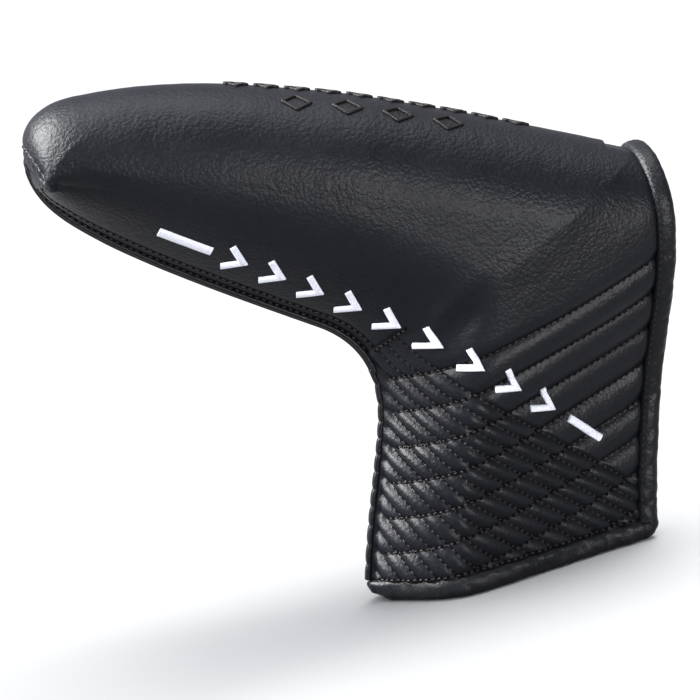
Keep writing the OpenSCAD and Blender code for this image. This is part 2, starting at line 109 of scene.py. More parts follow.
def outer_edge(s):
    return pieces_of(s, [
        (S_ARM, NOSE, 0, S_ARM, 0, 1), (S_CROTCH, CROWN, S_ARM, S_CROTCH, 0, CROWN_SHARE),
        (S_MOUTH, CROWN, S_CROTCH, S_MOUTH, CROWN_SHARE, 1), (9, MOUTH, S_MOUTH, 1, 0, 1)])


def ease(x):
    x = np.clip(x, 0, 1)
    return x * x * (3 - 2 * x)


def mix(a, b, t):
    return a + (b - a) * t


def half_across(s):
    """Half the cover's thickness at its fullest, mm."""
    return np.interp(s, [0, 0.06, 0.14, 0.3, 0.46, 0.66, 0.8, 1],
                     [13, 15.5, 18.5, 22, BODY_HALF, BODY_HALF, 21, 18])


def mouth_half(s, d=0.0):
    """Half the gap of the mouth: an arch under the crown, then two edges that close in."""
    q = np.clip((s - S_MOUTH) / (1 - S_MOUTH), 0, 1) * MOUTH_LEN
    arch = (ARCH_HALF - d) * np.sqrt(np.clip(1 - (1 - q / ARCH_RISE) ** 2, 0, 1))
    below = mix(ARCH_HALF, CLOSED_HALF, ease((q - ARCH_RISE) / MOUTH_CLOSING)) - d
    return np.where(q < ARCH_RISE, arch, below)


def edges_at(s, d):
    """The seam's and the outer edge's points for a face that lies d deep in the wall."""
    a, b = seam_edge(s), outer_edge(s)
    way = b - a
    way = way / np.maximum(np.linalg.norm(way, axis=-1, keepdims=True), 1e-6)
    return a + way * 1.5 * d, b - way * d * (np.asarray(s)[..., None] <= S_MOUTH)


def depth(s, u, d=0.0):
    """How far the side stands off the middle plane at station s and share u of the way to the outer edge."""
    s, u = np.broadcast_arrays(np.asarray(s, float), np.asarray(u, float))
    a, b = edges_at(s, d)
    length = np.linalg.norm(b - a, axis=-1)
    half = half_across(s) - d
    radius = np.minimum(length / 2, np.interp(s, [0, S_CROTCH, S_MOUTH, 1], [22, 24, 32, 36]) - d) + 1e-9
    edge = np.where(s <= S_MOUTH, 0, mouth_half(s, d) / half)
    v = np.clip((1 - u) * length / radius, 0, 1)
    w = np.clip((1 - u) / 0.72, 0, 1)
    arched = np.sqrt(edge * edge + (1 - edge * edge) * (1 - (1 - v) ** 2))
    pinched = edge + (1 - edge) * (0.45 * ease(w) + 0.55 * w)
    run = np.interp(s, [0, S_CROTCH, PINCHED_FROM, 1], [0.55, 0.55, 0.34, 0.32])
    taper = np.sin(np.pi / 2 * np.clip(u / run, 0, 1)) ** 0.9
    return half * taper * mix(arched, pinched, ease((s - S_MOUTH) / (PINCHED_FROM - S_MOUTH)))


def wall(s, u, side, d=0.0):
    """Points of the smooth side, or of a face d deep in its wall."""
    s, u = np.broadcast_arrays(np.asarray(s, float), np.asarray(u, float))
    h = depth(s, u, d)
    a, b = edges_at(s, d)
    p = a + (b - a) * u[..., None]
    pull = (h / half_across(s) * np.clip(1 - s / TOE_PULL_END, 0, 1)) ** 2
    p = p + pull[..., None] * TOE_PULL
    return np.stack([p[..., 0], side * h, p[..., 1]], -1)


def across(s):
    """Length from the seam to the outer edge at a station, mm."""
    return np.linalg.norm(outer_edge(s) - seam_edge(s), axis=-1)


# ---------------------------------------------------------------- relief of the leather, in mm
# Ribs: height of line 0 at x = 0, its rise and its bend along x
RIB_TOP, RIB_RISE, RIB_BEND, RIB_PITCH = 63.6, 0.2, 0.0016, 9.05
# Fine channels: height of line 0 at x = 0, its fall along x, and its bend left of CHANNEL_BEND_X
CHANNEL_TOP, CHANNEL_FALL, CHANNEL_BEND, CHANNEL_BEND_X = 49.2, 0.9, 0.022, -8
CHANNEL_PITCH, EVEN_CHANNELS, CHANNEL_SPREAD = 5.5, 3.2, 0.026
CROSSING_AT, CROSSING_WAY = (-27.3, 67.8), (0.6, -0.8)
ROW_UPS = (0.9, 2.9)  # the arm's two rows of stitching, mm up from its seam
ROW_CURVE = tuple(at(x, z) for x, z in ((-76.5, 113.4), (-41.5, 91), (-6.5, 68.5), (28.5, 31.9)))


def rib_of(x, z):
    """Count of the ribs, which falls by 1 a line."""
    return (z - RIB_TOP - RIB_RISE * x - RIB_BEND * x * x) / RIB_PITCH


def channel_bend(x):
    return CHANNEL_BEND * np.minimum(x - CHANNEL_BEND_X, 0) ** 2


def channel_of(x, z):
    """Count of the fine channels, which falls by 1 a line; past the third the lines spread a little."""
    drop = (CHANNEL_TOP - CHANNEL_FALL * x + channel_bend(x) - z) / CHANNEL_PITCH
    past = np.maximum(drop - EVEN_CHANNELS, 0)
    spread = (np.sqrt(1 + 4 * CHANNEL_SPREAD * past) - 1) / (2 * CHANNEL_SPREAD)
    return -np.where(past > 0, EVEN_CHANNELS + spread, drop)


def channel_height(k, x):
    drop = k + CHANNEL_SPREAD * max(k - EVEN_CHANNELS, 0) ** 2
    return CHANNEL_TOP - drop * CHANNEL_PITCH - CHANNEL_FALL * x + channel_bend(x)


def rib_height(k, x):
    return RIB_TOP - k * RIB_PITCH + RIB_RISE * x + RIB_BEND * x * x


def crossing_of(x, z):
    """Distance past the short seam that ends the arm's rows and starts the quilting, mm."""
    return (x - CROSSING_AT[0]) * CROSSING_WAY[0] + (z - CROSSING_AT[1]) * CROSSING_WAY[1]


def from_line(k):
    """From 0 on the nearest quilting line to 1 half-way between two; 1 above the first line."""
    return np.minimum(np.abs(k - np.minimum(np.round(k), 0)) * 2, 1)


def groove(d, width):
    """A sharp groove's share of its depth, at distance d from its line."""
    return np.exp(-np.sqrt(d * d + GROOVE_SOFT * GROOVE_SOFT) / width)


def ripple(x, z, seed, scale):
    """Smooth noise from a few fixed waves, about -1 to 1."""
    rng = np.random.default_rng(seed)
    total = 0
    for _ in range(7):
        a, f, p = rng.uniform(0, TAU), rng.uniform(0.6, 1.7) / scale, rng.uniform(0, TAU)
        total = total + np.sin((x * math.cos(a) + z * math.sin(a)) * f * TAU + p)
    return total / 4


def path_distance(x, z, places):
    """Distance to a path of places, and how far along it the nearest point lies, 0 to 1."""
    best = np.full(np.shape(x), 1e9)
    along = np.zeros(np.shape(x))
    steps = len(places) - 1
    for i in range(steps):
        p, way = np.array(places[i]), np.subtract(places[i + 1], places[i])
        t = np.clip(((x - p[0]) * way[0] + (z - p[1]) * way[1]) / (way @ way), 0, 1)
        d = np.hypot(x - p[0] - t * way[0], z - p[1] - t * way[1])
        near = d < best
        best = np.where(near, d, best)
        along = np.where(near, (i + t) / steps, along)
    return best, along


GROOVE_SOFT = 0.14
DENT_AT, DENT_ALONG = (-9.9, 75.3), (0.68, 0.73)
TOE_CORNER = (-100.2, 131.1)
TOE_RIDGE = (TOE_CORNER, (-98.5, 136.2), (-94.5, 139.4), (-88, 142.3))
TOE_VALLEY = (TOE_CORNER, (-94.1, 129.1), (-88, 127.2), (-78, 123.6))
CROSS_SEAM_HALF, CROSS_SEAM_TOP, CROSS_SEAM_BOW = 14.3, (-105.3, 140.6), (5.1, 9.5)


def cross_seam(y):
    """X and Z of the short seam across the toe."""
    r = np.minimum((y / CROSS_SEAM_HALF) ** 2, 1)
    return CROSS_SEAM_TOP[0] + CROSS_SEAM_BOW[0] * r, CROSS_SEAM_TOP[1] - CROSS_SEAM_BOW[1] * r


def relief(x, y, z, s, u):
    """How far the leather stands out of its smooth wall."""
    length = across(s)
    up, in_ = u * length, (1 - u) * length
    a, b, c = rib_of(x, z), channel_of(x, z), crossing_of(x, z)
    # the quilted neck: ribs, the fine channels over them, and the short seam that starts them
    neck = ease(c / 1.5)
    inside = ease((up - 1.2) / 1.6)
    in_channels = neck * ease((0.12 - b) / 0.1 + 1)
    h = -(1.35 - 0.6 * in_channels) * (1 - from_line(a)) ** 2.4 * neck * inside
    h = h - 0.95 * (1 - from_line(b)) ** 2 * in_channels * ease((up - 0.2) / 1.2)
    h = h + 0.4 * neck * ease(-b) - 0.5 * groove(c, 0.7) * ease((up - 1.5) / 2) * (b < 0.6) * (s > 0.4)
    # the stitched rows along the arm, the neck's seam, the mouth and the bottom hem
    arm = ease((s - 0.02) / 0.02) * ease(0.5 - c)
    for row, deep in zip(ROW_UPS, (0.55, 0.5)):
        h = h - deep * groove(up - row, 0.5) * arm
    h = h - groove(up - 1.0, 0.5) * ease((s - 0.8) / 0.1)
    h = h - 1.3 * groove(in_, 0.8) * (s > S_MOUTH - 0.02)
    h = h - 0.9 * groove(z - HEM_H, 0.8) * (s > 0.8)
    # the padding's own unevenness, and the dent over the crotch: a crease with a valley on its heel side
    h = h + 0.15 * ripple(x, z, 3, 38) * ease(up / 8) + 0.04 * ripple(x, z, 5, 9)
    dx, dz = x - DENT_AT[0], z - DENT_AT[1]
    t, q = dx * DENT_ALONG[0] + dz * DENT_ALONG[1], dx * DENT_ALONG[1] - dz * DENT_ALONG[0]
    crease, hollow = 0.9 * np.exp(-(q / 2.5) ** 2), 1.7 * np.exp(-((q - 5) / 3.8) ** 2)
    h = h + np.exp(-((t - 3) / 8) ** 2) * (crease - hollow)
    # the toe: its corner, the soft ridge and the valley that run off it, and the puckered cross seam
    h = h + 1.5 * np.exp(-np.hypot(x - TOE_CORNER[0], z - TOE_CORNER[1]) / 1.8)
    ridge, along = path_distance(x, z, TOE_RIDGE)
    h = h + 1.1 * np.exp(-ridge / 2.6) * (1 - along) ** 0.8
    valley, along = path_distance(x, z, TOE_VALLEY)
    h = h - 1.25 * np.exp(-valley / 2.4) * (1 - along) * ease((x + 101) / 2)
    at_toe = ease((-97.5 - x) / 2)
    seam = np.abs(z - cross_seam(y)[1]) * 0.8
    h = h - 0.8 * groove(seam, 0.7) * at_toe
    h = h + 0.22 * np.sin(y * 2.3 + z * 0.5) * np.exp(-seam / 1.8) * at_toe
    return h


def wall_normal(s, u, side):
    """The smooth side's outward normals."""
    s, u = np.broadcast_arrays(np.asarray(s, float), np.asarray(u, float))
    sa, sb = np.clip(s - 1e-3, 0, 1), np.clip(s + 1e-3, 0, 1)
    ua, ub = np.clip(u - 6e-4, 0, 0.9998), np.clip(u + 6e-4, 0, 0.9999)
    uu = np.minimum(u, 0.9995)
    n = np.cross(wall(sb, uu, side) - wall(sa, uu, side), wall(s, ub, side) - wall(s, ua, side)) * -side
    return unit_rows(n)


def skin(s, u, side, lift=0.0):
    """Points on the leather, and their normals."""
    p = wall(s, u, side)
    n = wall_normal(s, u, side)
    h = relief(p[..., 0], p[..., 1], p[..., 2], s, u) + lift
    return p + n * h[..., None], n


def locate(x, z):
    """Station and u of places on the side, and by how far each is missed."""
    x, z = np.asarray(x, float), np.asarray(z, float)
    s = np.where(x < -30, 0.3 + (x + 80) * 0.002, 0.72) + 0 * x
    u = np.full_like(s, 0.4)
    target = np.stack([x, z], -1)

    def here(s, u):
        return wall(s, u, FRONT)[..., [0, 2]]

    e = 5e-4
    for _ in range(14):
        p = here(s, u)
        ds, du = (here(s + e, u) - p) / e, (here(s, u + e) - p) / e
        miss = target - p
        det = ds[..., 0] * du[..., 1] - ds[..., 1] * du[..., 0]
        det = np.where(np.abs(det) < 1e-6, 1e-6, det)
        move_s = (miss[..., 0] * du[..., 1] - miss[..., 1] * du[..., 0]) / det
        move_u = (ds[..., 0] * miss[..., 1] - ds[..., 1] * miss[..., 0]) / det
        s = np.clip(s + np.clip(move_s, -0.1, 0.1), 0.01, 0.998)
        u = np.clip(u + np.clip(move_u, -0.2, 0.2), 0.004, 0.998)
    return s, u, np.linalg.norm(here(s, u) - target, axis=-1)


# ---------------------------------------------------------------- mesh helpers
def new_mesh(name, verts, faces):
    """A smooth-shaded object from points in mm about the shaft line."""
    pts = (np.asarray(verts, float) + [SHAFT_X, 0, 0]) * MM
    mesh = bpy.data.meshes.new(name)
    mesh.from_pydata(pts.tolist(), [], faces if isinstance(faces, list) else faces.tolist())
    mesh.polygons.foreach_set("use_smooth", [True] * len(mesh.polygons))
    mesh.update()
    obj = bpy.data.objects.new(name, mesh)
    bpy.context.scene.collection.objects.link(obj)
    return obj


def grid_faces(rows, cols, flip=False, wrap=False, base=0):
    """Quads of a grid of points, closed across its columns if wrap is set."""
    i, j = np.meshgrid(np.arange(rows - 1), np.arange(cols if wrap else cols - 1), indexing="ij")
    k = (j + 1) % cols
    f = np.stack([i * cols + j, (i + 1) * cols + j, (i + 1) * cols + k, i * cols + k], -1)
    f = f.reshape(-1, 4) + base
    return f[:, ::-1] if flip else f


def tube_faces(rings, sides, base=0, flip=False):
    """Faces of a capped tube of rings, as a list."""
    faces = grid_faces(rings, sides, flip, True, base).tolist()
    start = [base + k for k in range(sides)]
    end = [base + (rings - 1) * sides + k for k in range(sides)]
    faces.append(start[::-1] if flip else start)
    faces.append(end if flip else end[::-1])
    return faces


def sweep(name, rings, flip=False):
    rings = np.asarray(rings)
    n, k = rings.shape[:2]
    return new_mesh(name, rings.reshape(-1, 3), tube_faces(n, k, 0, flip))


STITCH_RADIUS, STITCH_SIDES = 0.19, 6
# A stitch's shape: share of its length, height of its middle over the leather in mm, share of its radius
STITCH_SHAPE = ((0.0, -0.3, 0.7), (0.1, 0.0, 0.95), (0.35, 0.02, 1.0), (0.65, 0.02, 1.0), (0.9, 0.0, 0.95),
                (1.0, -0.3, 0.7))
HOLE_RADIUS, HOLE_SIDES, HOLE_RIM, HOLE_DEEP = 0.46, 8, 0.1, 0.3


def unit_rows(v):
    return v / np.maximum(np.linalg.norm(v, axis=-1, keepdims=True), 1e-9)


def stitches(name, a, b, na, nb):
    """Short arched threads from points a to b, with their ends down in the leather."""
    n = unit_rows(na + nb)
    out = unit_rows(np.cross(unit_rows(b - a), n))
    verts = []
    for t, h, r in STITCH_SHAPE:
        centre = a + (b - a) * t + n * h
        for k in range(STITCH_SIDES):
            g = TAU * k / STITCH_SIDES
            verts.append(centre + (out * math.cos(g) + n * math.sin(g)) * STITCH_RADIUS * r)
    verts = np.stack(verts, 1).reshape(-1, 3)
    faces = []
    for i in range(len(a)):
        faces += tube_faces(len(STITCH_SHAPE), STITCH_SIDES, i * len(STITCH_SHAPE) * STITCH_SIDES)
    return new_mesh(name, verts, faces)


def needle_holes(name, p, n):
    """Needle holes at the stitch ends, as shallow cups that lie on the leather; their near-black colour is
    painted shade for the holes' dark insides.
    """
    ref = np.where(np.abs(n[:, 2:3]) < 0.9, np.array([[0, 0, 1.0]]), np.array([[1.0, 0, 0]]))
    e = unit_rows(np.cross(n, ref))
    f = np.cross(n, e)
    angles = [TAU * k / HOLE_SIDES for k in range(HOLE_SIDES)]
    rings = [p + (e * math.cos(g) + f * math.sin(g)) * HOLE_RADIUS + n * HOLE_RIM for g in angles]
    rings.append(p - n * HOLE_DEEP)
    verts = np.stack(rings, 1).reshape(-1, 3)
    faces = []
    for i in range(len(p)):
        q = i * (HOLE_SIDES + 1)
        faces += [[q + k, q + (k + 1) % HOLE_SIDES, q + HOLE_SIDES] for k in range(HOLE_SIDES)]
    return new_mesh(name, verts, faces)


# ---------------------------------------------------------------- materials
def material(name, base, rough):
    mat = bpy.data.materials.new(name)
    mat.use_nodes = True
    bsdf = mat.node_tree.nodes["Principled BSDF"]
    bsdf.inputs["Base Color"].default_value = (*base, 1)
    bsdf.inputs["Roughness"].default_value = rough
    return mat, mat.node_tree, bsdf


def add(tree, kind, **values):
    node = tree.nodes.new(kind)
    for key, value in values.items():
        if key in node.inputs:
            node.inputs[key].default_value = value
        else:
            setattr(node, key, value)
    return node


def ramp(tree, fac, stops):
    """A colour ramp over fac, with its stops as position and colour."""
    node = tree.nodes.new("ShaderNodeValToRGB")
    while len(node.color_ramp.elements) < len(stops):
        node.color_ramp.elements.new(0.5)
    for el, (pos, col) in zip(node.color_ramp.elements, stops):
        el.position = pos
        el.color = (*col, 1)
    tree.links.new(fac, node.inputs[0])
    return node


def maths(tree, operation, *values):
    """A math node over its values, each a number or another node's output."""
    node = add(tree, "ShaderNodeMath", operation=operation)
    for place, value in zip(node.inputs, values):
        if isinstance(value, float):
            place.default_value = value
        else:
            tree.links.new(value, place)
    return node.outputs[0]


def leather_material(name, dark, light, rough, pebble, strength, gloss):
    """Pebbled leather: warped cells with finer cells and pores, a cloudy tone, and painted shade that darkens
    the creases between the pebbles and lightens their tops.
    """
    mat, tree, bsdf = material(name, dark, rough)
    link = tree.links.new
    coord = add(tree, "ShaderNodeTexCoord")
    warp = add(tree, "ShaderNodeTexNoise", Scale=260.0, Detail=2.0)
    link(coord.outputs["Object"], warp.inputs["Vector"])
    shift = tree.nodes.new("ShaderNodeVectorMath")
    shift.operation = "MULTIPLY_ADD"
    shift.inputs[1].default_value = (0.0012,) * 3
    link(warp.outputs["Color"], shift.inputs[0])
    link(coord.outputs["Object"], shift.inputs[2])
    cells = add(tree, "ShaderNodeTexVoronoi", Scale=pebble, feature="SMOOTH_F1")
    cells.inputs["Smoothness"].default_value = 0.35
    link(shift.outputs[0], cells.inputs["Vector"])
    fine = add(tree, "ShaderNodeTexVoronoi", Scale=pebble * 2.3, feature="F1")
    link(shift.outputs[0], fine.inputs["Vector"])
    pores = add(tree, "ShaderNodeTexNoise", Scale=pebble * 4.0, Detail=4.0, Roughness=0.6)
    link(coord.outputs["Object"], pores.inputs["Vector"])
    cloud = add(tree, "ShaderNodeTexNoise", Scale=34.0, Detail=4.0)
    link(coord.outputs["Object"], cloud.inputs["Vector"])
    grain = maths(tree, "MULTIPLY_ADD", fine.outputs["Distance"], 0.45, cells.outputs["Distance"])
    grain = maths(tree, "MULTIPLY_ADD", pores.outputs["Fac"], 0.3, grain)
    # the leather is pulled smooth over the quilted neck, so its grain fades there
    place = tree.nodes.new("ShaderNodeSeparateXYZ")
    link(coord.outputs["Object"], place.inputs[0])
    fade = tree.nodes.new("ShaderNodeMapRange")
    link(place.outputs["Z"], fade.inputs["Value"])
    for key, value in (("From Min", 0.06), ("From Max", 0.10), ("To Min", 0.6), ("To Max", 1.0)):
        fade.inputs[key].default_value = value
    bump = add(tree, "ShaderNodeBump", Strength=strength, Distance=0.0004, invert=True)
    link(maths(tree, "MULTIPLY", grain, fade.outputs[0]), bump.inputs["Height"])
    link(bump.outputs["Normal"], bsdf.inputs["Normal"])
    colour = ramp(tree, cloud.outputs["Fac"], [(0.3, dark), (0.72, light)])
    # painted shade: the base colour is lightened on the pebbles' tops and darkened in the creases between
    # them
    pebble_shade = ramp(tree, cells.outputs["Distance"], [(0.0, (1.15,) * 3), (0.8, (0.75,) * 3)])
    mult = add(tree, "ShaderNodeMix", data_type="RGBA", blend_type="MULTIPLY")
    mult.inputs[0].default_value = 1.0
    link(colour.outputs[0], mult.inputs[6])
    link(pebble_shade.outputs[0], mult.inputs[7])
    link(mult.outputs[2], bsdf.inputs["Base Color"])
    rough_ramp = ramp(tree, cloud.outputs["Fac"], [(0.3, (rough - 0.05,) * 3), (0.75, (rough + 0.07,) * 3)])
    link(rough_ramp.outputs[0], bsdf.inputs["Roughness"])
    bsdf.inputs["Specular IOR Level"].default_value = gloss
    return mat


def fibre_material(name, base, rough, scale, strength, sheen, gloss=0.4):
    """Thread, plush or tape: fine fibres in bump and tone, with a sheen."""
    mat, tree, bsdf = material(name, base, rough)
    link = tree.links.new
    coord = add(tree, "ShaderNodeTexCoord")
    noise = add(tree, "ShaderNodeTexNoise", Scale=scale, Detail=5.0, Roughness=0.65)
    link(coord.outputs["Object"], noise.inputs["Vector"])
    bump = add(tree, "ShaderNodeBump", Strength=strength, Distance=0.0004)
    link(noise.outputs["Fac"], bump.inputs["Height"])
    link(bump.outputs["Normal"], bsdf.inputs["Normal"])
    low = tuple(c * 0.6 for c in base)
    high = tuple(min(c * 1.35, 1) for c in base)
    tone = ramp(tree, noise.outputs["Fac"], [(0.3, low), (0.7, high)])
    link(tone.outputs[0], bsdf.inputs["Base Color"])
    bsdf.inputs["Specular IOR Level"].default_value = gloss
    bsdf.inputs["Sheen Weight"].default_value = sheen
    bsdf.inputs["Sheen Roughness"].default_value = 0.45
    return mat


LEATHER = leather_material("pebbled_leather", (0.0022, 0.0025, 0.0042), (0.0034, 0.0037, 0.0058),
                           0.42, 950.0, 0.33, 0.13)
BINDING = leather_material("binding_leather", (0.003, 0.0033, 0.0045), (0.0045, 0.0048, 0.006),
                           0.4, 1100.0, 0.3, 0.13)
THREAD = fibre_material("dark_thread", (0.007, 0.0052, 0.0055), 0.5, 4200.0, 0.5, 0.05, 0.25)
CROWN_THREAD = fibre_material("crown_thread", (0.004, 0.003, 0.003), 0.42, 3800.0, 0.5, 0.0, 0.14)
WHITE = fibre_material("white_satin_thread", (0.52, 0.53, 0.60), 0.45, 3500.0, 0.35, 0.1, 0.3)
# near-black: painted shade for the needle holes' dark insides
HOLE_SHADE = fibre_material("needle_hole_shade", (0.0012, 0.0012, 0.0012), 0.9, 2500.0, 0.3, 0.0, 0.05)
PLUSH = fibre_material("plush_lining", (0.024, 0.024, 0.027), 0.95, 1400.0, 1.0, 0.6)
HOOK = fibre_material("hook_tape", (0.014, 0.014, 0.015), 0.5, 1800.0, 0.8, 0.1)
LOOP = fibre_material("loop_tape", (0.022, 0.022, 0.024), 0.9, 2200.0, 1.0, 0.5)


def finish_piece(obj, mat, slot, body="shell", blended=None, nodes=(), padded=None):
    """Give a piece its material, attach it to the body it rides on or bake its transform where it belongs to
    a flap, and hide the nodes it replaces. The slot is not used.
    """
    obj.data.materials.append(mat)
    if blended:
        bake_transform(obj)
    else:
        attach(obj, body)
    if nodes:
        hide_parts(*nodes)


FLAP = {FRONT: "front_flap", BACK: "back_flap"}
WORD = {FRONT: "front", BACK: "back"}

# ---------------------------------------------------------------- camera, floor and light
TURN, DOWN, ROLL = math.radians(8), math.radians(12), math.radians(11.40)
SENSOR, LENS_TO_SENSOR = 36, 4.293143
look = Vector((math.sin(TURN) * math.cos(DOWN), math.cos(TURN) * math.cos(DOWN), -math.sin(DOWN)))
right = Vector((math.cos(TURN), -math.sin(TURN), 0))
top = right.cross(look)
image_right = right * math.cos(ROLL) - top * math.sin(ROLL)
image_up = right * math.sin(ROLL) + top * math.cos(ROLL)
aimed_at = Vector(((-32.14 + SHAFT_X) * MM, 0, 69.07 * MM))
CAMERA_DISTANCE = 0.8
camera_data = bpy.data.cameras.new("camera")
camera = bpy.data.objects.new("camera", camera_data)
bpy.context.scene.collection.objects.link(camera)
rotation = Matrix((image_right, image_up, -look)).transposed().to_4x4()
camera.matrix_world = Matrix.Translation(aimed_at - look * CAMERA_DISTANCE) @ rotation
camera_data.sensor_width = SENSOR
camera_data.lens = LENS_TO_SENSOR * SENSOR
camera_data.clip_start, camera_data.clip_end = 0.05, 60
bpy.context.scene.camera = camera

bpy.context.scene.view_settings.view_transform = "Standard"
world = bpy.data.worlds.new("studio")
bpy.context.scene.world = world
world.use_nodes = True
world.node_tree.nodes["Background"].inputs[0].default_value = (0.93, 0.95, 1.0, 1)
world.node_tree.nodes["Background"].inputs[1].default_value = 0.55

floor_mesh = bpy.data.meshes.new("floor")
FAR = 8.0
floor_mesh.from_pydata([(-FAR, -FAR, 0), (FAR, -FAR, 0), (FAR, FAR, 0), (-FAR, FAR, 0)], [], [(0, 1, 2, 3)])
floor = bpy.data.objects.new("floor", floor_mesh)
bpy.context.scene.collection.objects.link(floor)
floor.data.materials.append(material("floor", (0.9, 0.9, 0.9), 0.7)[0])


def aim(obj, place, to):
    obj.location = place
    obj.rotation_euler = (Vector(to) - Vector(place)).to_track_quat("-Z", "Y").to_euler()


flagged = bpy.data.collections.new("flagged_from_the_boxes")
flagged.objects.link(floor)
flagged.collection_objects[0].light_linking.link_state = "EXCLUDE"


def softbox(name, place, to, size, power, spread):
    """A square soft light, flagged off the floor so that it doesn't bounce up under the cover."""
    data = bpy.data.lights.new(name, "AREA")
    data.shape = "SQUARE"
    data.size = size
    data.energy = power
    data.spread = math.radians(spread)
    obj = bpy.data.objects.new(name, data)
    bpy.context.scene.collection.objects.link(obj)
    obj.light_linking.receiver_collection = flagged
    aim(obj, place, to)


sun_data = bpy.data.lights.new("sky_panel", "SUN")
sun_data.energy = 2.5
sun_data.angle = math.radians(44)
sun = bpy.data.objects.new("sky_panel", sun_data)
bpy.context.scene.collection.objects.link(sun)
aim(sun, (0.4, 0.2, 1.6), (0, 0, 0))
softbox("front_box", (0.44, -1.25, 0.17), (0.06, 0, 0.11), 0.3, 0.55, spread=26)
softbox("toe_box", (-0.88, 0.10, 0.98), (-0.08, 0, 0.14), 1.3, 54, spread=70)

# ---------------------------------------------------------------- leather
STATIONS = np.concatenate([
    np.linspace(0, 0.03, 14)[:-1], np.linspace(0.03, S_ARM, 52)[:-1], np.linspace(S_ARM, S_CROTCH, 112)[:-1],
    np.linspace(S_CROTCH, S_MOUTH, 128)[:-1], np.linspace(S_MOUTH, 1, 214)])
STATIONS[0] = 0.0006
COLUMNS = 146


def even_columns(s, count, d=0.0):
    """u of evenly spaced places along each station's profile."""
    fine = np.sin(np.pi / 2 * np.linspace(0, 1, 420))
    p = wall(s[:, None], fine[None, :], FRONT, d)
    step = np.linalg.norm(np.diff(p, axis=1), axis=-1)
    run = np.concatenate([np.zeros((len(s), 1)), np.cumsum(step, 1)], 1)
    share = np.linspace(0, 1, count)
    return np.stack([np.interp(share * r[-1], r, fine) for r in run])


def grid_normals(p, side):
    n = np.cross(np.gradient(p, axis=0), np.gradient(p, axis=1)) * -side
    return unit_rows(n)


U_GRID = even_columns(STATIONS, COLUMNS)
S_GRID = np.repeat(STATIONS[:, None], COLUMNS, 1)


def leather(side):
    """One side's leather, its wall pushed out by the relief and joined to the other at seam and crown."""
    p = wall(S_GRID, U_GRID, side)
    n = grid_normals(p, side)
    h = relief(p[..., 0], p[..., 1], p[..., 2], S_GRID, U_GRID)
    p = p + n * h[..., None]
    p[:, 0, 1] = 0
    p[STATIONS <= S_MOUTH, -1, 1] = 0
    obj = new_mesh(WORD[side] + "_leather", p.reshape(-1, 3), grid_faces(*p.shape[:2], flip=side == BACK))
    flap_nodes = [WORD[side] + "_flap_leather", WORD[side] + "_flap_padding"]
    own = ["leather_shell", "shell_padding"] if side == FRONT else []
    finish_piece(obj, LEATHER, "black_leather", blended=FLAP[side], nodes=own + flap_nodes, padded=0.55)


for side in (FRONT, BACK):
    leather(side)

# ---------------------------------------------------------------- lining
LINING_S = np.concatenate([np.linspace(0.03, S_MOUTH, 60)[:-1], np.linspace(S_MOUTH, 1, 56)])
LINING_COLUMNS = 44
LINING_DEPTH = 4.4


def lining(side):
    """One side's plush lining, a sheet that lies inside the padding."""
    u = even_columns(LINING_S, LINING_COLUMNS, LINING_DEPTH)
    p = wall(LINING_S[:, None], u, side, LINING_DEPTH)
    p[..., 1] += side * 0.12 * ripple(p[..., 0], p[..., 2], 11, 5)
    p[:, 0, 1] = 0
    p[LINING_S <= S_MOUTH, -1, 1] = 0
    obj = new_mesh(WORD[side] + "_lining", p.reshape(-1, 3), grid_faces(*p.shape[:2], flip=side == FRONT))
    own = ["shell_lining"] if side == FRONT else []
    finish_piece(obj, PLUSH, "plush_lining", blended=FLAP[side], nodes=own + [WORD[side] + "_flap_lining"])


for side in (FRONT, BACK):
    lining(side)


# ---------------------------------------------------------------- rolled hems
ROLL_SIDES = 22
MID_WALL = 2.3  # depth of the middle of the wall
BOTTOM_OUTLINE, MOUTH_OUTLINE = (5.3, 2.9), (5.2, 2.9)
HEM_SPREAD, HEM_SPREAD_RUN = 2.0, 8.0  # how far the bottom hem stands past the neck's seam, and over what run


def run_along(p):
    """Length along a path up to each of its points."""
    return np.concatenate([[0], np.cumsum(np.linalg.norm(np.diff(p, axis=0), axis=-1))])


def rolled(centre, out, along, side, outline, mark=1.0, round_start=0.0):
    """Rings of a rolled hem round a path.

    out points away from the leather's edge, and outline gives the roll's reach and half thickness. mark is
    how much of the quilting shows through it, and round_start the length over which its start is rounded.
    """
    deep = -side * unit_rows(np.cross(along, out))
    run = run_along(centre)
    g = TAU * np.arange(ROLL_SIDES) / ROLL_SIDES
    reach, thick = outline
    o = reach * (0.44 + 0.56 * np.sign(np.cos(g)) * np.abs(np.cos(g)) ** 0.75)
    d = thick * np.sign(np.sin(g)) * np.abs(np.sin(g)) ** 0.75
    rings = centre[:, None] + out[:, None] * o[None, :, None] + deep[:, None] * d[None, :, None]
    x, z = rings[..., 0], rings[..., 2]
    crease = 0.75 * (1 - from_line(rib_of(x, z))) ** 4
    crease = crease + 0.6 * (1 - from_line(channel_of(x, z))) ** 3 * (z < 30)
    bulge = 0.15 * ripple(x, z, 21, 11) + 0.09 * ripple(x + rings[..., 1], z, 22, 3.4)
    outer = np.clip(-d / thick, 0, 1)[None, :]
    away = -deep[:, None] * outer[..., None] + out[:, None] * np.clip(o / reach, 0, 1)[None, :, None] * 0.6
    rings = rings + away * (bulge - crease * mark * outer * 0.62)[..., None]
    if round_start:
        w = (1 - ease(run / round_start))[:, None] * np.clip(o / reach, 0, 1)[None, :]
        inward = thick * 2 * (1 - np.sqrt(np.clip(1 - w * w, 0, 1))) * outer
        rings = rings + deep[:, None] * inward[..., None] - out[:, None] * (1.5 * w ** 3)[..., None]
    return rings


def tangents(p):
    return unit_rows(np.gradient(p, axis=0))


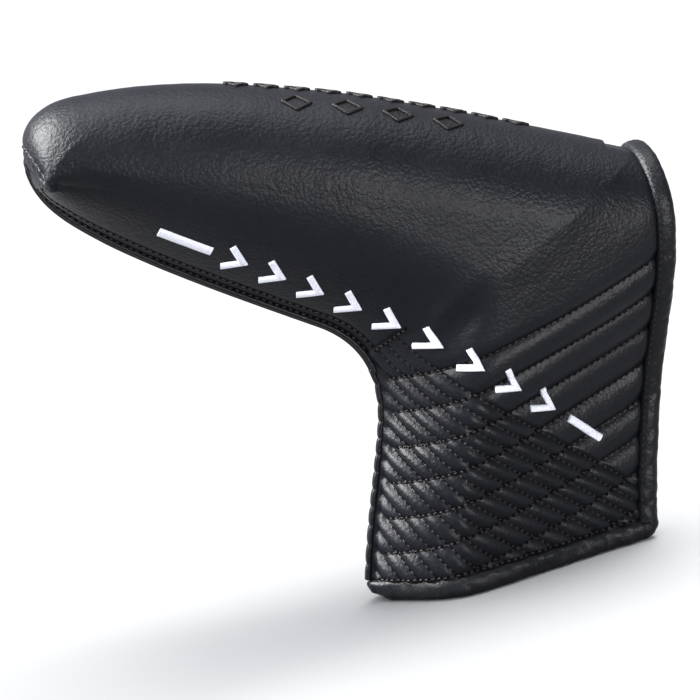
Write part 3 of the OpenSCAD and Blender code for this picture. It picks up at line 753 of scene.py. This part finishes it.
def mouth_path(side, count=250):
    """The middle of the wall along the mouth, from the hem up to the crown, and the way out of the mouth."""
    low = np.linspace(1, S_MOUTH + (1 - S_MOUTH) * ARCH_RISE / MOUTH_LEN, count)[:-1]
    angle = np.linspace(math.pi / 2, 0, 70)
    q = MID_WALL + (ARCH_RISE - MID_WALL) * (1 - np.cos(angle))
    high = S_MOUTH + (1 - S_MOUTH) * q / MOUTH_LEN
    s = np.concatenate([low, high])
    edge = outer_edge(s)
    y = np.concatenate([mouth_half(low, MID_WALL), (ARCH_HALF - MID_WALL) * np.sin(angle)])
    step = outer_edge(np.minimum(s + 0.002, 1)) - outer_edge(np.maximum(s - 0.002, S_MOUTH))
    out = unit_rows(np.stack([-step[:, 1], 0 * s, step[:, 0]], -1))
    return np.stack([edge[:, 0], side * y, edge[:, 1]], -1) - out * 0.5, out


def bottom_path(side, count=170):
    """The middle of the wall along the bottom hem, from the neck's seam to the mouth, and the way down."""
    p = wall(np.full(count, 1.0), even_columns(np.array([1.0]), count, MID_WALL)[0], side, MID_WALL)
    p[:, 0] -= HEM_SPREAD * (1 - ease(run_along(p) / HEM_SPREAD_RUN))
    out = np.tile([0.0, 0.0, -1.0], (count, 1))
    return p + [0, 0, 0.4], out


def corner(side, a, b, start, end, steps):
    """A fan of frames round the hem's corner, the way out turning from down to sideways."""
    t = np.linspace(a, b, steps)
    g = t * math.pi / 2
    out = np.stack([np.sin(g), 0 * g, -np.cos(g)], -1)
    along = np.stack([np.cos(g), 0 * g, np.sin(g)], -1)
    return start + (end - start) * t[:, None], out, along


for side in (FRONT, BACK):
    mouth_c, mouth_o = mouth_path(side)
    bottom_c, bottom_o = bottom_path(side)
    low_c, low_o, low_t = corner(side, 0.03, 0.55, bottom_c[-1], mouth_c[0], 16)
    high_c, high_o, high_t = corner(side, 0.5, 0.97, bottom_c[-1], mouth_c[0], 16)
    bottom_t, mouth_t = tangents(bottom_c), tangents(mouth_c)
    rings = rolled(np.concatenate([bottom_c, low_c]), np.concatenate([bottom_o, low_o]),
                   np.concatenate([bottom_t, low_t]), side, BOTTOM_OUTLINE, 1.0, 9)
    obj = sweep(WORD[side] + "_bottom_binding", rings, side == BACK)
    finish_piece(obj, BINDING, "hem_leather", blended=FLAP[side],
                 nodes=[WORD[side] + "_shell_bottom_hem", WORD[side] + "_flap_bottom_hem"])
    rings = rolled(np.concatenate([high_c, mouth_c]), np.concatenate([high_o, mouth_o]),
                   np.concatenate([high_t, mouth_t]), side, MOUTH_OUTLINE, 0.8)
    obj = sweep(WORD[side] + "_mouth_binding", rings, side == BACK)
    own = ["mouth_arch_hem"] if side == FRONT else []
    finish_piece(obj, BINDING, "hem_leather", blended=FLAP[side], nodes=own + [WORD[side] + "_mouth_hem"])


# ---------------------------------------------------------------- seam piping
def rings_round(p, a, b, radius, sides):
    """Rings round the points of a path, in the plane of the ways a and b."""
    g = (TAU * np.arange(sides) / sides)[None, :, None]
    r = np.broadcast_to(np.asarray(radius, float), (len(p),))[:, None, None]
    return p[:, None] + r * (a[:, None] * np.cos(g) + b[:, None] * np.sin(g))


def cord_rings(p, radius, sides=8):
    """Round rings about a path; radius is one number or one for each point."""
    t = tangents(p)
    a = unit_rows(np.cross(t, np.array([0.0, 1.0, 0.0])))
    return rings_round(p, a, np.cross(a, t), radius, sides)


def bundle(name, ring_sets):
    """Several capped tubes as one object."""
    verts, faces, base = [], [], 0
    for rings in ring_sets:
        n, k = rings.shape[:2]
        verts.append(rings.reshape(-1, 3))
        faces += tube_faces(n, k, base, True)
        base += n * k
    return new_mesh(name, np.concatenate(verts), faces)


def seam_path(s, out, y):
    """A path along the seam, out from it by so much and y off the middle plane."""
    p = seam_edge(s)
    way = unit_rows(seam_edge(np.minimum(s + 0.003, 1)) - seam_edge(np.maximum(s - 0.003, 0)))
    q = p + np.stack([way[:, 1], -way[:, 0]], -1) * np.asarray(out, float).reshape(-1, 1)
    return np.stack([q[:, 0], np.broadcast_to(y, s.shape), q[:, 1]], -1)


def nose_lead(path, out, y):
    """The path with a lead up the toe, from under the cross seam."""
    p = curve(NOSE, np.linspace(0.2, 0.0, 12)[:-1])
    sunk = 0.9 * (1 - ease(np.arange(len(p)) / 9))
    lead = np.stack([p[:, 0] - out + sunk, np.full(len(p), y), p[:, 1]], -1)
    return np.concatenate([lead, path])


def arm_piping():
    """The welt under the arm: a thin cord between two thicker ones, all led up the toe."""
    s = np.linspace(0.004, 0.7, 260)
    swell = 0.25 + 0.75 * ease(np.arange(len(s) + 11) / 10)
    cords = [cord_rings(nose_lead(seam_path(s, out, y), lead, y), radius * swell)
             for out, lead, y, radius in ((0.5, 0.2, 0.0, 0.6), (-0.15, -0.2, -0.85, 0.75),
                                          (-0.15, -0.2, 0.85, 0.75))]
    finish_piece(bundle("arm_seam_piping", cords), BINDING, "black_leather", nodes=["arm_seam_welt"])


def neck_piping():
    """The lip down the neck: two cords, notched where the fine channels meet them."""
    s = np.linspace(0.69, 0.995, 190)
    p = seam_path(s, 0.0, 0.0)
    notch = (1 - from_line(channel_of(p[:, 0], p[:, 2]))) ** 3
    cords = [cord_rings(seam_path(s, 0.4 - 0.3 * notch, y), 0.8 - 0.12 * notch) for y in (-0.35, 0.35)]
    finish_piece(bundle("neck_seam_piping", cords), BINDING, "black_leather", nodes=["neck_seam_lip"])


def toe_ridge():
    """The puckered ridge over the short seam across the toe."""
    s, u, _ = locate(*cross_seam(np.linspace(0, 14.0, 60)))
    half, _ = skin(s, u, FRONT, 0.05)
    half[0, 1] = 0
    half = half[np.concatenate([[True], np.diff(half[:, 1]) < 0.2])]
    ridge = np.concatenate([(half[::-1] * [1, -1, 1])[:-1], half])
    place = np.arange(len(ridge))
    taper = np.clip(np.minimum(place, place[::-1]) / 12, 0.15, 1)
    rings = cord_rings(ridge, (0.42 + 0.1 * np.sin(place * 1.1)) * taper)
    finish_piece(bundle("toe_seam_ridge", [rings]), LEATHER, "black_leather", nodes=["toe_cross_seam"])


arm_piping()
neck_piping()
toe_ridge()


# ---------------------------------------------------------------- stitching
STITCH_PITCH, STITCH_GAP = 1.9, 0.23  # length of a stitch with its gaps, mm, and each gap's share of it
QUILT_LIFT, ROW_LIFT = 0.26, 0.22  # height of the thread's middle over the leather
TOP_RIB_FROM = -25.5  # where the first rib's line starts, past the short seam


def spaced(p, n, ok):
    """Points each stitch along a path, with their normals, and whether each belongs to the row."""
    run = run_along(p)
    at_run = np.arange(0, run[-1], STITCH_PITCH)
    q = np.stack([np.interp(at_run, run, p[:, k]) for k in range(3)], -1)
    m = unit_rows(np.stack([np.interp(at_run, run, n[:, k]) for k in range(3)], -1))
    keep = np.interp(at_run, run, ok.astype(float)) > 0.99
    return q, m, keep


def sew(name, rows, holes_name, blended=None, nodes=()):
    """Rows of stitches as one object, with the needle holes between them as another."""
    a, b, na, nb, holes, hole_n = [], [], [], [], [], []
    for p, n, ok in rows:
        q, m, keep = spaced(p, n, ok)
        both = keep[1:] & keep[:-1]
        step = q[1:] - q[:-1]
        a.append((q[:-1] + step * STITCH_GAP)[both])
        b.append((q[1:] - step * STITCH_GAP)[both])
        na.append(m[:-1][both])
        nb.append(m[1:][both])
        holes.append(q[keep])
        hole_n.append(m[keep])
    a, b, na, nb = (np.concatenate(v) for v in (a, b, na, nb))
    obj = stitches(name, a, b, na, nb)
    finish_piece(obj, THREAD, "dark_thread", blended=blended, nodes=nodes)
    if holes_name:
        obj = needle_holes(holes_name, np.concatenate(holes), np.concatenate(hole_n))
        finish_piece(obj, HOLE_SHADE, "black_leather", blended=blended)


def quilt_row(x, z, side):
    """A quilting line through places on the side, kept where it lies on the quilted neck."""
    s, u, off = locate(x, z)
    length = across(s)
    ok = (off < 0.2) & (u * length > 2.6) & (z > HEM_H + 1.2) & (crossing_of(x, z) > 0.3)
    ok &= (s <= S_MOUTH) | ((1 - u) * length > 1.8)
    p, n = skin(s, u, side, QUILT_LIFT)
    return p, n, ok


def edge_row(side, s, u):
    p, n = skin(s, u, side, ROW_LIFT)
    return p, n, np.ones(len(p), bool)


for side in (FRONT, BACK):
    word = WORD[side]
    xs = np.linspace(-42, 56, 250)
    rows = []
    for k in range(8):
        line = xs[xs > TOP_RIB_FROM] if k == 0 else xs
        rows.append(quilt_row(line, rib_height(k, line), side))
    rows += [quilt_row(xs, channel_height(k, xs), side) for k in range(16)]
    rows.append(edge_row(side, np.full(160, 0.9945), np.linspace(0.03, 0.985, 160)))
    cross = np.linspace(0, 1, 30)
    rows.append(quilt_row(mix(-27.0, -17.7, cross), mix(67.4, 74.4, cross), side))
    sew(word + "_quilt_stitching", rows, word + "_quilt_needle_holes", blended=FLAP[side],
        nodes=[word + "_shell_quilt_thread", word + "_flap_quilt_thread"])
    rows = []
    for row in ROW_UPS:
        s = np.linspace(0.03, 0.66, 300)
        p, n, ok = edge_row(side, s, row / across(s))
        rows.append((p, n, crossing_of(p[:, 0], p[:, 2]) < -0.5))
    sew(word + "_arm_stitching", rows, word + "_arm_needle_holes", nodes=[word + "_arm_topstitching"])
    c, o = mouth_path(side)
    t = tangents(c)
    deep = -side * unit_rows(np.cross(t, o))
    p = c + o * 0.55 - deep * 2.5
    own = ["arch_topstitching"] if side == FRONT else []
    sew(word + "_mouth_stitching", [(p, -deep, np.ones(len(p), bool))], None, blended=FLAP[side],
        nodes=own + [word + "_mouth_topstitching"])


# ---------------------------------------------------------------- embroidery
THREAD_PITCH, THREAD_RELIEF = 0.38, 0.13
# A satin column's section: place across it, and height over the leather in mm
SATIN_PLACES = np.array([-1, -1, -0.86, -0.5, 0, 0.5, 0.86, 1, 1])
SATIN_HEIGHTS = np.array([-0.9, 0.12, 0.42, 0.58, 0.62, 0.58, 0.42, 0.12, -0.9])
DASH_WIDTH, STROKE_WIDTH, MOTIF_HEIGHT, CHEVRONS = 2.2, 1.7, 6.2, 9
TIP_SHARE = 0.018  # half a chevron's length along the row


def satin_leg(a, b, width, cut=0.0):
    """Rings of one satin column from a to b; cut leans its far end, as mm of shift per mm across."""
    a, b = np.asarray(a, float), np.asarray(b, float)
    length = float(np.linalg.norm(b - a))
    way = (b - a) / length
    side_way = np.array([-way[1], way[0]])
    steps = max(int(length / 0.095), 8)
    t = np.linspace(0, 1, steps + 1)
    off = SATIN_PLACES * width / 2
    run = (length + off * cut)[None, :] * t[:, None]
    flat = a + way * run[..., None] + side_way * off[None, :, None]
    s, u, _ = locate(flat[..., 0], flat[..., 1])
    base = wall(s, u, FRONT)
    n = wall_normal(s, u, FRONT)
    h = relief(base[..., 0], base[..., 1], base[..., 2], s, u) * 0.7
    crowned = 1 - np.abs(SATIN_PLACES)[None, :] ** 4
    threads = THREAD_RELIEF * np.abs(np.sin(np.pi * run / THREAD_PITCH)) * crowned
    return base + n * (h + SATIN_HEIGHTS[None, :] + threads)[..., None]


def row_at(t):
    """A place on the embroidered row, 0 at its toe end and 1 at its heel end."""
    return curve(ROW_CURVE, t)


def row_way(t):
    v = row_at(t + 0.01) - row_at(t - 0.01)
    return v / np.linalg.norm(v)


def dash(name, t0, t1, **rides):
    rings = satin_leg(row_at(t0), row_at(t1), DASH_WIDTH)
    finish_piece(bundle(name, [rings[:, ::-1]]), WHITE, "white_thread", **rides)


dash("toe_dash", 0.0, 0.118, nodes=["toe_dash_embroidery"])
dash("heel_dash", 0.925, 1.0, blended="front_flap", nodes=["heel_dash_embroidery"])
legs = []
for i in range(CHEVRONS):
    t = mix(0.17, 0.86, i / (CHEVRONS - 1))
    tip, back, way = row_at(t + TIP_SHARE), row_at(t - TIP_SHARE), row_way(t)
    arm_way = np.array([-way[1], way[0]]) * MOTIF_HEIGHT / 2
    for sign in (1, -1):
        end = back + arm_way * sign
        leg = (tip - end) / np.linalg.norm(tip - end)
        cot = float(leg @ way) / max(float(np.linalg.norm(leg - way * (leg @ way))), 1e-6)
        legs.append(satin_leg(end, tip, STROKE_WIDTH, sign * cot)[:, ::-1])
finish_piece(bundle("chevrons", legs), WHITE, "white_thread", nodes=["chevron_embroidery"])


def crown_place(t, arc, lift):
    """Points on the crown: t along its curve, arc in mm down from the ridge, front side negative."""
    t = np.asarray(t, float)
    s = np.where(t < CROWN_SHARE, S_ARM + t / CROWN_SHARE * (S_CROTCH - S_ARM),
                 S_CROTCH + (t - CROWN_SHARE) / (1 - CROWN_SHARE) * (S_MOUTH - S_CROTCH))
    out = np.zeros((len(t), 3))
    fine = np.sin(np.pi / 2 * np.linspace(0.5, 1, 300))
    for i in range(len(t)):
        side = FRONT if arc[i] <= 0 else BACK
        p = wall(np.full(300, s[i]), fine, side)
        run = np.concatenate([np.cumsum(np.linalg.norm(np.diff(p, axis=0), axis=-1)[::-1])[::-1], [0]])
        u = float(np.interp(-abs(arc[i]), -run, fine))
        out[i] = skin(np.array([s[i]]), np.array([min(u, 0.9995)]), side, lift)[0][0]
    return out


def loop_faces(rings, sides, base):
    """Quads of a tube that closes on itself."""
    i, j = np.meshgrid(np.arange(rings), np.arange(sides), indexing="ij")
    i2, k = (i + 1) % rings, (j + 1) % sides
    f = np.stack([i * sides + j, i * sides + k, i2 * sides + k, i2 * sides + j], -1)
    return (f.reshape(-1, 4) + base).tolist()


EDGE_POINTS, LOZENGE_SIDES = 16, 8


def lozenges(name, places, nodes):
    """Closed outlines of raised satin thread on the crown."""
    verts, faces, base = [], [], 0
    for t, arc, half_t, half_arc in places:
        corners = [(t - half_t, arc), (t, arc - half_arc), (t + half_t, arc), (t, arc + half_arc)]
        ts, arcs = [], []
        for k in range(4):
            (t0, a0), (t1, a1) = corners[k], corners[(k + 1) % 4]
            share = np.arange(EDGE_POINTS) / EDGE_POINTS
            ts.append(mix(t0, t1, share))
            arcs.append(mix(a0, a1, share))
        p = crown_place(np.concatenate(ts), np.concatenate(arcs), 0.18)
        count = len(p)
        way = unit_rows(np.roll(p, -1, 0) - np.roll(p, 1, 0))
        mid = p.mean(0)
        ref = unit_rows((mid - [mid[0], 0, mid[2] - 22])[None])
        a_way = unit_rows(np.cross(way, np.repeat(ref, count, 0)))
        radius = 0.43 + 0.06 * np.sin(np.arange(count) * 2.4)
        verts.append(rings_round(p, a_way, np.cross(a_way, way), radius, LOZENGE_SIDES).reshape(-1, 3))
        faces += loop_faces(count, LOZENGE_SIDES, base)
        base += count * LOZENGE_SIDES
    finish_piece(new_mesh(name, np.concatenate(verts), faces), CROWN_THREAD, "dark_thread", nodes=nodes)


lozenges("upper_crown_lozenges", [(0.3 + 0.055 * i, 0.0, 0.02, 3.1) for i in range(10)],
         ["crown_upper_embroidery"])
lozenges("lower_crown_lozenges", [(0.4 + 0.09 * i, -11.2, 0.025, 3.1) for i in range(4)],
         ["crown_lower_embroidery"])


# ---------------------------------------------------------------- hook and loop closure
STRIP_LEN, STRIP_W, STRIP_BASE, STRIP_FROM_HEM = 40.0, 12.0, 0.6, 6.0
STRIP_DEPTH = 4.62  # depth in the wall of the strips' backs, just under the lining's pile
HOOK_ROWS, HOOKS_A_ROW, HOOK_POINTS, HOOK_SIDES, HOOK_RADIUS, HOOK_RISE = 40, 10, 6, 4, 0.09, 0.75


def strip_place(t, v, side, lift):
    """A place on a closing strip: t along the mouth, v across it, lift above the lining."""
    s = S_MOUTH + (1 - S_MOUTH) * t
    first = 1 - STRIP_W / across(s)
    p = wall(s, mix(first, 1.0, v), side, STRIP_DEPTH)
    p[..., 1] -= side * lift
    return p


def closing_tape(name, side, mat, slot, node, looped):
    """A woven strip with rows of bent hooks, or of closed loops."""
    t = np.linspace(1 - (STRIP_LEN + STRIP_FROM_HEM) / MOUTH_LEN, 1 - STRIP_FROM_HEM / MOUTH_LEN, 41)
    v = np.linspace(0.02, 0.98, 13)
    tt, vv = np.meshgrid(t, v, indexing="ij")
    woven = STRIP_BASE + 0.05 * np.sin(tt * MOUTH_LEN * 4.1) * np.sin(vv * 40)
    top, low = strip_place(tt, vv, side, woven), strip_place(tt, vv, side, 0.0)
    rows, cols = tt.shape
    base = rows * cols
    faces = grid_faces(rows, cols, side == FRONT).tolist()
    faces += grid_faces(rows, cols, side == BACK, False, base).tolist()
    rim = ([(0, j) for j in range(cols)] + [(i, cols - 1) for i in range(1, rows)]
           + [(rows - 1, j) for j in range(cols - 2, -1, -1)] + [(i, 0) for i in range(rows - 2, 0, -1)])
    ids = [i * cols + j for i, j in rim]
    for k in range(len(ids)):
        a_id, b_id = ids[k], ids[(k + 1) % len(ids)]
        quad = [a_id, b_id, b_id + base, a_id + base]
        faces.append(quad if side == FRONT else quad[::-1])
    verts = [top.reshape(-1, 3), low.reshape(-1, 3)]
    count = 2 * base
    arc = np.linspace(0, math.pi if looped else 0.8 * math.pi, HOOK_POINTS)
    lean = (1 - np.cos(arc)) * 0.22
    lift = STRIP_BASE - 0.1 + HOOK_RISE * np.sin(np.maximum(arc, 0.05))
    for i in range(1, HOOK_ROWS):
        for j in range(HOOKS_A_ROW):
            at_t = mix(t[0], t[-1], (i + 0.5 * (j % 2) - 0.25) / HOOK_ROWS)
            at_v = 0.08 + 0.84 * j / (HOOKS_A_ROW - 1)
            path = np.stack([strip_place(np.array(at_t), np.array(at_v), side, h) + [m, 0, 0]
                             for h, m in zip(lift, lean)])
            rings = cord_rings(path + [0, 0, 1e-4], HOOK_RADIUS, HOOK_SIDES)
            verts.append(rings.reshape(-1, 3))
            faces += tube_faces(HOOK_POINTS, HOOK_SIDES, count, True)
            count += HOOK_POINTS * HOOK_SIDES
    obj = new_mesh(name, np.concatenate(verts), faces)
    finish_piece(obj, mat, slot, body=FLAP[side], nodes=[node])


closing_tape("hook_tape", FRONT, HOOK, "hook_tape", "hook_strip", False)
closing_tape("loop_tape", BACK, LOOP, "loop_tape", "loop_strip", True)
